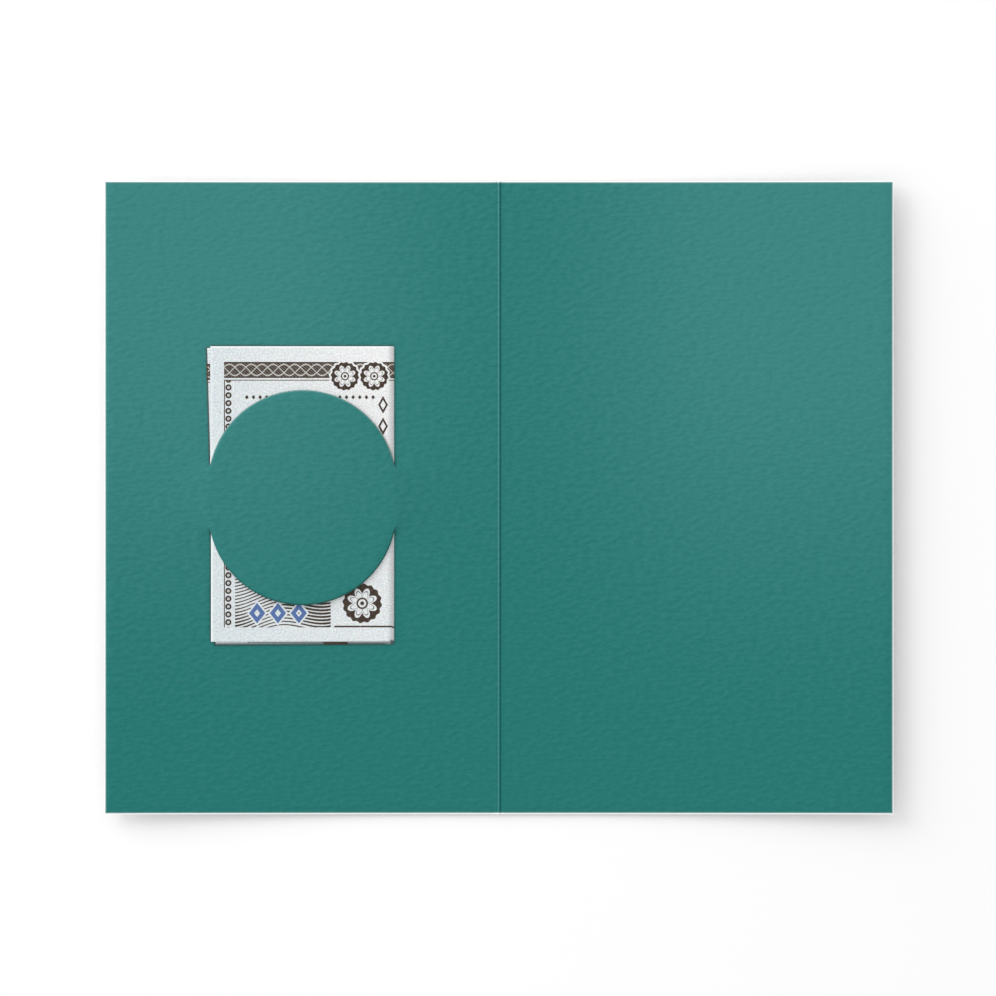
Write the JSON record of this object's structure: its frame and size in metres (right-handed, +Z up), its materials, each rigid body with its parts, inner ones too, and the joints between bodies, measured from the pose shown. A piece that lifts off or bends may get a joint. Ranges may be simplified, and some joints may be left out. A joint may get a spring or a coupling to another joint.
{
  "type": "money holder card",
  "caption": "Folded card opened flat: a die-cut disc on its front leaf grips a folded banknote that slides out, its lobes lift, and the back leaf folds over to shut it.",
  "frame": {"origin": "middle of the crease, on the table that the open card lies on", "axes": "+X from the crease towards the back leaf's outer edge, +Y along the crease towards the card's top, +Z up out of the card's inside faces"},
  "size_m": [0.1778, 0.1422, 0.0034],
  "materials": {
    "printed_stock": "matte",
    "score_line": "matte",
    "note_paper": "matte",
    "note_inner_paper": "matte"
  },
  "bodies": {
    "front_cover": {"front_leaf": "printed_stock", "holder_band": "printed_stock"},
    "crease": {"crease_strip": "score_line"},
    "back_cover": {"back_leaf": "printed_stock"},
    "upper_lobe": {"upper_flap": "printed_stock"},
    "lower_lobe": {"lower_flap": "printed_stock"},
    "banknote": {"note_front_panel": "note_paper", "note_tucked_panel": "note_paper", "note_middle_panel": "note_inner_paper", "note_back_panel": "note_inner_paper", "note_outer_fold": "note_paper", "note_inner_fold": "note_paper", "note_centre_fold": "note_inner_paper"}
  },
  "joints": [
    {"name": "front_fold", "type": "hinge", "parent": "front_cover", "child": "crease", "pos_m": [-0.0006, 0, 0.00035], "axis": [0, -1, 0], "range_deg": [0, 87.5]},
    {"name": "back_fold", "type": "hinge", "parent": "crease", "child": "back_cover", "pos_m": [0.0006, 0, 0.00035], "axis": [0, -1, 0], "range_deg": [0, 87.5]},
    {"name": "note_slide", "type": "slide", "parent": "front_cover", "child": "banknote", "axis": [0, 1, 0], "range_m": [-0.059, 0.059]},
    {"name": "upper_flap_lift", "type": "hinge", "parent": "front_cover", "child": "upper_lobe", "pos_m": [-0.04445, 0.0066, 0.00177], "axis": [0.9995, 0, -0.0329], "range_deg": [0, 8], "stiffness_Nm_per_rad": 0.005},
    {"name": "lower_flap_lift", "type": "hinge", "parent": "front_cover", "child": "lower_lobe", "pos_m": [-0.04445, -0.0066, 0.00177], "axis": [-0.9995, 0, 0.0329], "range_deg": [0, 8], "stiffness_Nm_per_rad": 0.005}
  ],
  "couplings": [
    {"joint": "back_fold", "follows": "front_fold", "ratio": 1}
  ]
}
